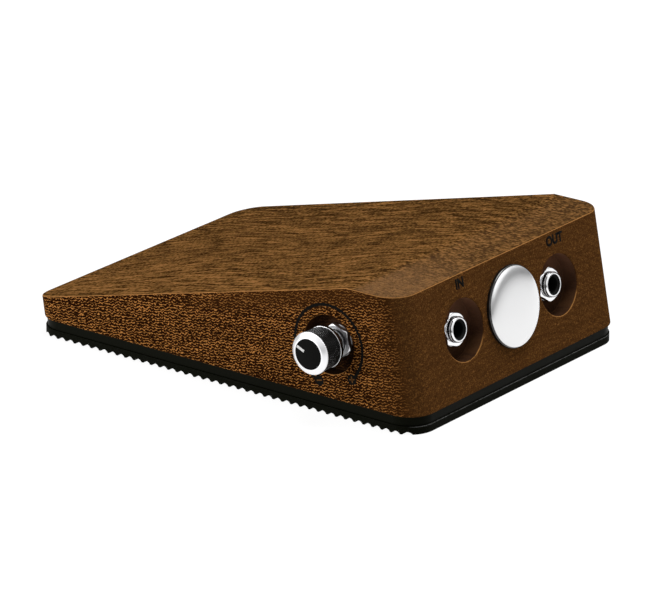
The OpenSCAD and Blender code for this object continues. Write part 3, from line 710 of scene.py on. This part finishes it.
def lathe(name, outline, place, steps=128, sharp=40, teeth=0, tooth=0.0, toothed_from=1.0):
    """A turned solid: outline runs from the axis, or as a loop, through (radius, height) points.

    Points at or beyond the radius toothed_from get fine teeth around."""
    bm = bmesh.new()
    rings = []
    for radius, height in outline:
        sides = 1 if radius < 1e-9 else steps
        ring = []
        for k in range(sides):
            a = TURN * k / sides
            r = radius - tooth * (0.5 + 0.5 * math.cos(teeth * a)) if radius >= toothed_from else radius
            ring.append(bm.verts.new((r * math.cos(a), r * math.sin(a), height)))
        rings.append(ring)
    closed = len(rings[0]) > 1
    pairs = list(zip(rings, rings[1:])) + ([(rings[-1], rings[0])] if closed else [])
    for low, high in pairs:
        for k in range(steps):
            around = ((low, k), (low, k + 1), (high, k + 1), (high, k))
            corners = [ring[i % len(ring)] for ring, i in around]
            bm.faces.new(list(dict.fromkeys(corners)))
    bmesh.ops.recalc_face_normals(bm, faces=bm.faces)
    bm.transform(place)
    mesh = mesh_of(bm, name)
    mesh.shade_smooth()
    mesh.set_sharp_from_angle(angle=math.radians(sharp))
    return mesh


def rounded(points, radius, steps=4):
    """An outline with an arc of about the given radius at each inner point."""
    made = [points[0]]
    for before, corner, after in zip(points, points[1:], points[2:]):
        c = Vector(corner)
        a, b = Vector(before) - c, Vector(after) - c
        cut = min(radius, a.length / 2.1, b.length / 2.1)
        start, end = c + a.normalized() * cut, c + b.normalized() * cut
        for k in range(steps + 1):
            t = k / steps
            made.append(tuple(start * (1 - t) ** 2 + c * 2 * t * (1 - t) + end * t * t))
    return made + [points[-1]]


def facing(at, out, up):
    """Matrix that puts local z along out and local y along up, with its origin at a point."""
    out = out.normalized()
    right = up.cross(out).normalized()
    turn = Matrix((right, out.cross(right), out)).transposed()
    return Matrix.Translation(at) @ turn.to_4x4()


def flat_piece(name, bm, place, film, material):
    """A thin film from a flat bmesh, set at a place."""
    made = bmesh.ops.extrude_face_region(bm, geom=bm.faces[:])
    lifted = [v for v in made["geom"] if isinstance(v, bmesh.types.BMVert)]
    bmesh.ops.translate(bm, verts=lifted, vec=(0, 0, film))
    bmesh.ops.recalc_face_normals(bm, faces=bm.faces)
    bm.transform(place)
    return new_piece(name, mesh_of(bm, name), material, BOX)


def lettering(text, height, bold):
    """Flat letters of a height, centred on the origin, as a bmesh."""
    curve = bpy.data.curves.new("letters", "FONT")
    curve.body = text
    curve.offset = bold
    curve.align_x = "CENTER"
    curve.align_y = "CENTER"
    curve.resolution_u = 6
    bm = bmesh.new()
    bm.from_mesh(as_mesh(linked("letters", curve)))
    tall = max(v.co.y for v in bm.verts) - min(v.co.y for v in bm.verts)
    scale = height / tall
    bmesh.ops.scale(bm, verts=bm.verts, vec=(scale * LETTER_SQUEEZE, scale, 1))
    low = [min(v.co[i] for v in bm.verts) for i in range(3)]
    high = [max(v.co[i] for v in bm.verts) for i in range(3)]
    bmesh.ops.translate(bm, verts=bm.verts, vec=[-(a + b) / 2 for a, b in zip(low, high)])
    return bm


def arc_band(radius, width, start, end, steps=160):
    """Flat band along an arc; angles run clockwise from local y."""
    bm = bmesh.new()
    rows = []
    for k in range(steps + 1):
        a = start + (end - start) * k / steps
        ray = Vector((math.sin(a), math.cos(a), 0))
        rows.append([bm.verts.new(ray * (radius - width / 2)), bm.verts.new(ray * (radius + width / 2))])
    for (a, b), (c, d) in zip(rows, rows[1:]):
        bm.faces.new((a, c, d, b))
    return bm


def disc(radius, steps=48):
    """A flat disc as a bmesh."""
    bm = bmesh.new()
    bmesh.ops.create_circle(bm, cap_ends=True, segments=steps, radius=radius)
    return bm


def bars(size, width, both):
    """A minus sign, or a plus sign where both is true."""
    bm = bmesh.new()
    spans = [(size, width)] + ([(width, size)] if both else [])
    for w, h in spans:
        corners = [(-w / 2, -h / 2, 0), (w / 2, -h / 2, 0), (w / 2, h / 2, 0), (-w / 2, h / 2, 0)]
        bm.faces.new([bm.verts.new(c) for c in corners])
    return bm


def geometry_tree(name, **inputs):
    """A geometry node tree with named inputs of the given kinds, and the inputs as values."""
    tree = bpy.data.node_groups.new(name, "GeometryNodeTree")
    for label, kind in inputs.items():
        tree.interface.new_socket(label, in_out="INPUT", socket_type="NodeSocket" + kind)
    tree.interface.new_socket("Geometry", in_out="OUTPUT", socket_type="NodeSocketGeometry")
    made = Tree(tree)
    first = made.add("NodeGroupInput")
    return made, {label: Value(made, first.socket.node.outputs[label]) for label in inputs}


def ended(t, geometry, material):
    """Ends a geometry tree in a plain mesh with its material."""
    real = t.add("GeometryNodeRealizeInstances", {}, {"Geometry": geometry})
    coated = t.add("GeometryNodeSetMaterial", {}, {"Geometry": real, "Material": material})
    t.add("NodeGroupOutput", {}, {"Geometry": coated})
    return t.tree


def grown(tree, values):
    """Plain mesh that a geometry tree makes with the given values for its named inputs."""
    holder = linked("seed", bpy.data.meshes.new("seed"))
    modifier = holder.modifiers.new("Nodes", "NODES")
    modifier.node_group = tree
    sockets = {s.name: s.identifier for s in tree.interface.items_tree if s.in_out == "INPUT"}
    for label, value in values.items():
        modifier[sockets[label]] = value
    made = as_mesh(holder)
    if not made.polygons:
        raise RuntimeError(tree.name + " made no faces")
    return made


def knurl_tree():
    """Rows of small pyramids round a grip whose axis lies along x."""
    t, given = geometry_tree(
        "knurl", Centre="Vector", Radius="Float", Length="Float", Around="Int", Rows="Int", Depth="Float",
        Material="Material",
    )
    index = t.add("GeometryNodeInputIndex")
    row = (index / given["Around"]).math("FLOOR")
    column = index - row * given["Around"]
    stagger = row.math("MODULO", 2) * 0.5
    turn = (column + stagger) / given["Around"] * TURN
    along = (row + 0.5) / given["Rows"] * given["Length"]
    aside = turn.math("SINE") * given["Radius"] * -1
    up = turn.math("COSINE") * given["Radius"]
    spot = t.add("ShaderNodeCombineXYZ", {}, {"X": along, "Y": aside, "Z": up})
    placed = t.add("ShaderNodeVectorMath", {"operation": "ADD"}, {0: spot, 1: given["Centre"]})
    points = t.add("GeometryNodePoints", {}, {"Count": given["Around"] * given["Rows"], "Position": placed})
    width = given["Radius"] / given["Around"] * (TURN * 0.5)
    tooth = t.add("GeometryNodeMeshCone", {"fill_type": "NGON"}, {
        "Vertices": 4, "Radius Top": 0.0, "Radius Bottom": width * 1.05, "Depth": given["Depth"],
    })
    spin = t.add("ShaderNodeCombineXYZ", {}, {"X": turn})
    copies = t.add("GeometryNodeInstanceOnPoints", {}, {
        "Points": points, "Instance": tooth, "Rotation": spin,
    })
    return ended(t, copies, given["Material"])


def thread_tree():
    """A screw thread: a small ridge that climbs round the z axis, set at a place."""
    t, given = geometry_tree(
        "thread", Radius="Float", Turns="Float", Height="Float", Ridge="Float", Place="Vector",
        Turn="Vector", Material="Material",
    )
    helix = t.add("GeometryNodeCurveSpiral", {}, {
        "Resolution": 64, "Rotations": given["Turns"], "Start Radius": given["Radius"],
        "End Radius": given["Radius"], "Height": given["Height"],
    })
    ridge = t.add("GeometryNodeCurvePrimitiveCircle", {"mode": "RADIUS"}, {
        "Resolution": 6, "Radius": given["Ridge"],
    })
    swept = t.add("GeometryNodeCurveToMesh", {}, {
        "Curve": helix, "Profile Curve": ridge, "Fill Caps": True,
    })
    moved = t.add("GeometryNodeTransform", {}, {
        "Geometry": swept, "Translation": given["Place"], "Rotation": given["Turn"],
    })
    return ended(t, moved, given["Material"])


def plating(name, metal):
    """Bright or satin plating, made on first use."""
    return bpy.data.materials.get(name) or bright_finish(name, metal, PLATING_ROUGH[name])


def stock(name):
    """A finish of the inner parts, made on first use."""
    made = bpy.data.materials.get(name)
    if made:
        return made
    return metal_finish(name, *METALS[name]) if name in METALS else plain_finish(name, *PLAINS[name])


def dress(node, material):
    """Gives a CAD node a finish."""
    mesh = frame["nodes"][node].data
    mesh.materials.clear()
    mesh.materials.append(material)


def dress_works(group, works):
    """Gives the inner parts of a group of CAD nodes their stock finishes."""
    for part, finish in works.items():
        dress("%s_%s" % (group, part), stock(finish))


class STOMP_OT_wood(bpy.types.Operator):
    """Make the wooden wedge with rounded edges and its grain"""

    bl_idname = "stomp.wood"
    bl_label = "Wood"

    def execute(self, context):
        wood = context.scene.stomp_box.wood
        finish = wood_finish(wood, self.recesses())
        recast("wood_block", "wood_body", wood.edge, finish, BOX, limit=40)
        return {"FINISHED"}

    @staticmethod
    def recesses():
        """Where each recess opens in the wood, which way it faces, its radius and the level of its painted shade.
        """
        found = [(KNOB_FACE, KNOB_OUT, KNOB_RECESS_R, KNOB_RECESS_SHADE)]
        for at in JACKS.values():
            mouth = at + REAR_OUT * (REAR_FOOT - at).dot(REAR_OUT)
            found.append((mouth, REAR_OUT, JACK_RECESS_R, JACK_RECESS_SHADE))
        return found


class STOMP_OT_printing(bpy.types.Operator):
    """Print the words over the jacks and the dial round the knob"""

    bl_idname = "stomp.printing"
    bl_label = "Printing"

    def execute(self, context):
        p = context.scene.stomp_box.printing
        ink = plain_finish("printing_ink", p.ink, 0.7, 0.4, 1.5, 0.1, 0.03)
        bare = plain_finish("bare_sign", p.bare, 0.6, 0.3, 1.5, 0.1, 0.03)
        for name, text in (("input_jack", "IN"), ("output_jack", "OUT")):
            at = REAR_FOOT + REAR_UP * p.letter_up
            at.x = JACKS[name].x + p.letter_aside
            word = lettering(text, p.letter, p.bold)
            flat_piece(name + "_word", word, facing(at, REAR_OUT, REAR_UP), p.film, ink)
        dial = facing(KNOB_FACE, KNOB_OUT, UPWARD) @ Matrix.Rotation(p.tilt, 4, "Z")
        flat_piece("dial_line", arc_band(p.arc_r, p.arc_w, -p.arc_half, p.arc_half), dial, p.film, ink)
        for name, turn, both in (("dial_less", -p.arc_half, False), ("dial_more", p.arc_half, True)):
            spot = Vector((math.sin(turn), math.cos(turn), 0)) * p.arc_r
            place = dial @ Matrix.Translation(spot)
            thick = 1.5 * p.film
            flat_piece(name + "_disc", disc(p.end_r), place, thick, ink)
            sign = bars(p.end_r * SIGN_LENGTH, p.end_r * SIGN_WIDTH, both)
            lifted = place @ Matrix.Translation((0, 0, thick))
            flat_piece(name + "_sign", sign, lifted, 0.5 * p.film, bare)
        return {"FINISHED"}


class STOMP_OT_base(bpy.types.Operator):
    """Finish the base plate, its screws and the ribbed mat"""

    bl_idname = "stomp.base"
    bl_label = "Base"

    def execute(self, context):
        base = context.scene.stomp_box.base
        plate = plain_finish("satin_plate", base.plate, 0.45, 0.3, 0.5, 0.08, 0.03)
        recast("plate_board", "base_plate", PLATE_EDGE, plate, BOX)
        rubber = rubber_finish(base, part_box("rubber_mat")[1].z)
        recast("mat_ribs", "rubber_mat", MAT_EDGE, rubber, BOX)
        dress("base_screws", stock("zinc_screw"))
        return {"FINISHED"}


class STOMP_OT_badge(bpy.types.Operator):
    """Make the plain domed badge"""

    bl_idname = "stomp.badge"
    bl_label = "Badge"

    def execute(self, context):
        badge = context.scene.stomp_box.badge
        low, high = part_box("badge_backing")
        radius = (high.x - low.x) / 2
        backing_at = Vector((0, (low.y + high.y) / 2, (low.z + high.z) / 2))
        foot = backing_at - REAR_OUT * ((backing_at - REAR_FOOT).dot(REAR_OUT))
        thick = 2 * (backing_at - foot).dot(REAR_OUT)
        place = facing(foot + REAR_OUT * thick, REAR_OUT, REAR_UP)
        rise = height_along("badge_dome", foot, REAR_OUT) - thick
        outline = [(0, 0), (radius, 0)]
        for k in range(DOME_STEPS):
            a = math.pi / 2 * k / DOME_STEPS
            outline.append((radius * math.cos(a) ** DOME_SHOULDER, rise * math.sin(a) ** DOME_CROWN))
        outline.append((0, rise))
        dome = lathe("badge_cap", outline, place, 128, 50)
        finish = badge_finish(badge, foot, radius)
        new_piece("badge_cap", dome, finish, BOX, ["badge_dome"])
        # the backing's edge takes the dark rim colour, as painted shade round the badge
        dress("badge_backing", plain_finish("badge_edge", badge.line, 0.3, 0.2))
        return {"FINISHED"}


def thread_on(name, node, nut, at, axis, pitch, material):
    """Threads on a bushing, from the face of its nut to just under its end."""
    start = height_along(nut, at, axis)
    long = height_along(node, at, axis) - start - THREAD_END
    ridge = pitch * RIDGE_OF_PITCH
    values = {
        "Radius": girth(node, at, axis, start) - ridge * RIDGE_SUNK, "Turns": long / pitch, "Height": long,
        "Ridge": ridge, "Place": at + axis * start, "Turn": facing(Vector(), axis, UPWARD).to_euler(),
        "Material": material,
    }
    mesh = grown(bpy.data.node_groups.get("thread") or thread_tree(), values)
    return new_piece(name, mesh, material, BOX)


class STOMP_OT_jacks(bpy.types.Operator):
    """Finish both jacks: bright sleeves with threads, hex nuts and washers, and their springs"""

    bl_idname = "stomp.jacks"
    bl_label = "Jacks"

    def execute(self, context):
        metal = context.scene.stomp_box.metal
        shine = plating("bright_plating", metal)
        first = JACKS["input_jack"]
        root = girth("input_jack_sleeve", first, REAR_OUT, height_along("input_jack_nut", first, REAR_OUT))
        sleeve = throat_finish(metal, MOUTH_R, root)
        for name, at in JACKS.items():
            for part, finish in (("sleeve", sleeve), ("nut", shine), ("washer", shine)):
                node = "%s_%s" % (name, part)
                recast(node + "_plated", node, metal.edge, finish, BOX)
            thread_on(name + "_thread", name + "_sleeve", name + "_nut", at, REAR_OUT, metal.pitch, shine)
            dress_works(name, JACK_WORKS)
        return {"FINISHED"}


class STOMP_OT_volume(bpy.types.Operator):
    """Finish the volume control: a bushing dark with painted shade under its bright threads, a bright nut and
    washer, and the works behind them
    """

    bl_idname = "stomp.volume"
    bl_label = "Volume control"

    def execute(self, context):
        metal = context.scene.stomp_box.metal
        shine = plating("satin_plating", metal)
        # painted shade: the bushing is dark between its bright threads
        root = metal_finish("thread_root", metal.root, 0.3)
        for node, finish in (("volume_bushing", root), ("volume_nut", shine), ("volume_washer", shine)):
            recast(node + "_plated", node, metal.edge, finish, BOX)
        thread_on("volume_thread", "volume_bushing", "volume_nut", KNOB_AT, KNOB_OUT, metal.pitch, shine)
        dress_works("volume", VOLUME_WORKS)
        return {"FINISHED"}


class STOMP_OT_knob(bpy.types.Operator):
    """Make the knob: knurled grip, bright bezel, black face, white mark and back ring"""

    bl_idname = "stomp.knob"
    bl_label = "Knob"

    def execute(self, context):
        settings = context.scene.stomp_box
        knob = settings.knob
        place = facing(Vector((0, KNOB_AT.y, KNOB_AT.z)), KNOB_OUT, UPWARD)
        body_r, start, end = self.turned("knob_body")
        boss_r, face_start, face_end = self.turned("knob_cap")
        bezel_r, bezel_start, bezel_end = self.turned("knob_bezel")
        shaft_r, _, shaft_end = self.turned("volume_shaft")
        grip_r = body_r - knob.depth
        bore_r = shaft_r + SLACK
        bore_end = shaft_end + 4 * SLACK
        outline = [
            (0, bore_end), (bore_r, bore_end), (bore_r, start), (grip_r, start), (grip_r, bezel_start),
            (boss_r, bezel_start), (boss_r, end), (0, end),
        ]
        black = plain_finish("grip_black", knob.grip, 0.35, 0.2, 1.2, 0.08, 0.12)
        grip = lathe("knob_grip", rounded(outline, GRIP_EDGE, 3), place)
        new_piece("knob_grip", grip, black, KNOB, ["knob_body"])

        knurled = knurl_finish(knob, grip_r)
        values = {
            "Centre": Vector((start + KNURL_MARGIN, KNOB_AT.y, KNOB_AT.z)), "Radius": grip_r - KNURL_SUNK,
            "Length": bezel_start - start - 2 * KNURL_MARGIN, "Around": knob.around, "Rows": knob.rows,
            "Depth": knob.depth, "Material": knurled,
        }
        new_piece("knob_knurl", grown(knurl_tree(), values), knurled, KNOB)

        lip = 0.3 * MM
        rim = 0.5 * MM
        shoulder = Vector((bezel_r, bezel_start + rim))
        crest = Vector((boss_r + rim, bezel_end))
        outline = [
            (boss_r + SLACK, bezel_start), (bezel_r - lip, bezel_start), (bezel_r, bezel_start + lip / 2),
            shoulder, shoulder + (crest - shoulder) * 0.22, crest, (boss_r + SLACK, bezel_end),
        ]
        teeth = (knob.teeth, knob.tooth, bezel_r - lip)
        bezel = lathe("knob_ring", rounded(outline, BEZEL_EDGE), place, 6 * knob.teeth, 40, *teeth)
        dull = plating("satin_plating", settings.metal)
        new_piece("knob_ring", bezel, dull, KNOB, ["knob_bezel"])

        outline = [(0, face_start), (boss_r, face_start), (boss_r, face_end), (0, face_end)]
        face = lathe("knob_face", rounded(outline, FACE_EDGE, 3), place)
        matt = plain_finish("face_black", knob.face, 0.35, 0.15, 0.6, 0.04, 0.04)
        new_piece("knob_face", face, matt, KNOB, ["knob_cap"])
        white = plain_finish("pointer_white", knob.mark, 0.5, 0.05)
        recast("knob_mark", "knob_pointer", MARK_EDGE, white, KNOB)
        shine = plating("bright_plating", settings.metal)
        recast("knob_collar", "knob_back_ring", GRIP_EDGE, shine, KNOB, 3)
        return {"FINISHED"}

    @staticmethod
    def turned(node):
        """Radius of a node that is turned about the knob's axis, and where it starts and ends along x."""
        low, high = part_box(node)
        return (high.y - low.y) / 2, low.x, high.x


class STOMP_OT_works(bpy.types.Operator):
    """Finish the pickup and the wires inside"""

    bl_idname = "stomp.works"
    bl_label = "Pickup and wires"

    def execute(self, context):
        dress_works("pickup", PICKUP_WORKS)
        smooth = [("SUBSURF", {"levels": 1})]
        for subpart in frame["record"]["subparts"]:
            node, slot = subpart["node"], subpart["material_slot"]
            if slot in WIRE_COVERS:
                mesh = baked(merged(node, 0.01), smooth)
                mesh.shade_smooth()
                new_piece(node + "_round", mesh, stock(WIRE_COVERS[slot]), BOX, [node])
        return {"FINISHED"}


def add_lamp(name, at, size, power):
    """A round lamp that shines on the object."""
    lamp = bpy.data.lights.new(name, "AREA")
    lamp.shape = "DISK"
    lamp.size = size
    lamp.energy = power
    holder = linked(name, lamp)
    holder.location = at
    holder.rotation_euler = (LIT_POINT - Vector(at)).to_track_quat("-Z", "Y").to_euler()


def seen_by_camera(tree):
    """1 for rays from the camera, 0 for others."""
    return tree.add("ShaderNodeLightPath", out="Is Camera Ray")


def seen_in_mirror(tree):
    """1 for rays from metal and glass, 0 for others."""
    kinds = [tree.add("ShaderNodeLightPath", out=kind) for kind in ("Is Glossy Ray", "Is Transmission Ray")]
    return (kinds[0] + kinds[1]).clamp()


class STOMP_OT_stage(bpy.types.Operator):
    """Set the floor, the lamps, the sky and the camera"""

    bl_idname = "stomp.stage"
    bl_label = "Stage"

    def execute(self, context):
        s = context.scene.stomp_box.stage
        self.make_floor(s)
        self.make_sky(s)
        for name, (at, size) in LAMPS.items():
            add_lamp(name, at, size, getattr(s, name))
        self.make_camera(s)
        context.scene.view_settings.view_transform = "Standard"
        return {"FINISHED"}

    @staticmethod
    def make_floor(s):
        f = Finish("pale_floor")
        scatter = f.add("ShaderNodeBsdfDiffuse", {}, {"Color": (*s.floor, 1)})
        glow = f.add("ShaderNodeEmission", {}, {"Color": WHITE, "Strength": s.glow})
        at = f.add("ShaderNodeTexCoord", out="Object")
        away = f.add("ShaderNodeVectorMath", {"operation": "LENGTH"}, {0: at}, out="Value")
        direct = seen_by_camera(f) * (1 - s.shadow + away.step(0.2, 0.75) * s.shadow)
        mirrored = seen_in_mirror(f) * (1 - away.step(0.3, 0.9)) * 0.8
        mix = f.add("ShaderNodeMixShader", {}, {0: (direct + mirrored).clamp(), 1: scatter, 2: glow})
        f.add("ShaderNodeOutputMaterial", {}, {"Surface": mix})
        bm = bmesh.new()
        bmesh.ops.create_grid(bm, x_segments=1, y_segments=1, size=FLOOR_HALF)
        mesh = mesh_of(bm, "floor")
        mesh.materials.append(f.material)
        floor = linked("floor", mesh)
        floor.location.z = CAD_BOX[0].z - FLOOR_GAP

    @staticmethod
    def make_sky(s):
        world = bpy.data.worlds.new("studio")
        world.use_nodes = True
        world.node_tree.nodes.clear()
        bpy.context.scene.world = world
        w = Tree(world.node_tree)
        even, dim, white = [
            w.add("ShaderNodeBackground", {}, {"Color": WHITE, "Strength": level})
            for level in (s.sky, s.haze, 1.0)
        ]
        way = w.add("ShaderNodeTexCoord", out="Generated")
        sockets = {0: way, 1: UPWARD}
        height = w.add("ShaderNodeVectorMath", {"operation": "DOT_PRODUCT"}, sockets, out="Value")
        mirrored = w.add("ShaderNodeMixShader", {}, {0: height.step(0.0, 0.40), 1: dim, 2: white})
        unseen = w.add("ShaderNodeMixShader", {}, {0: seen_in_mirror(w), 1: even, 2: mirrored})
        mix = w.add("ShaderNodeMixShader", {}, {0: seen_by_camera(w), 1: unseen, 2: white})
        w.add("ShaderNodeOutputWorld", {}, {"Surface": mix})

    @staticmethod
    def make_camera(s):
        a, e = s.azimuth, s.elevation
        back = Vector((math.sin(a) * math.cos(e), -math.cos(a) * math.cos(e), math.sin(e)))
        right = Vector((math.cos(a), math.sin(a), 0))
        up = back.cross(right)
        data = bpy.data.cameras.new("camera")
        data.lens = s.focal
        camera = linked("camera", data)
        lift = Vector((0, 0, WOOD_LOW.z))
        camera.location = back * s.distance + right * s.aside + up * s.above + lift
        camera.rotation_euler = back.to_track_quat("Z", "Y").to_euler()
        bpy.context.scene.camera = camera


STEPS = [
    STOMP_OT_stage, STOMP_OT_wood, STOMP_OT_printing, STOMP_OT_base, STOMP_OT_badge, STOMP_OT_jacks,
    STOMP_OT_volume, STOMP_OT_knob, STOMP_OT_works,
]


class STOMP_PT_panel(bpy.types.Panel):
    """Lists the steps that dress the stomp box"""

    bl_idname = "STOMP_PT_panel"
    bl_label = "Stomp Box"
    bl_space_type = "VIEW_3D"
    bl_region_type = "UI"
    bl_category = "Stomp Box"

    def draw(self, context):
        for step in STEPS:
            self.layout.operator(step.bl_idname, text=step.bl_label)
        for group in StompBoxSettings.__annotations__:
            box = self.layout.box()
            box.label(text=group.title())
            settings = getattr(context.scene.stomp_box, group)
            for name in settings.__annotations__:
                box.prop(settings, name)


CLASSES = [
    WoodSettings, PrintSettings, MetalSettings, KnobSettings, BadgeSettings, BaseSettings, StageSettings,
    StompBoxSettings, *STEPS, STOMP_PT_panel,
]


def register():
    for cls in CLASSES:
        bpy.utils.register_class(cls)
    bpy.types.Scene.stomp_box = PointerProperty(type=StompBoxSettings)


def unregister():
    del bpy.types.Scene.stomp_box
    for cls in reversed(CLASSES):
        bpy.utils.unregister_class(cls)


def main():
    register()
    for step in STEPS:
        group, name = step.bl_idname.split(".")
        getattr(getattr(bpy.ops, group), name)()


if __name__ == "__main__":
    main()
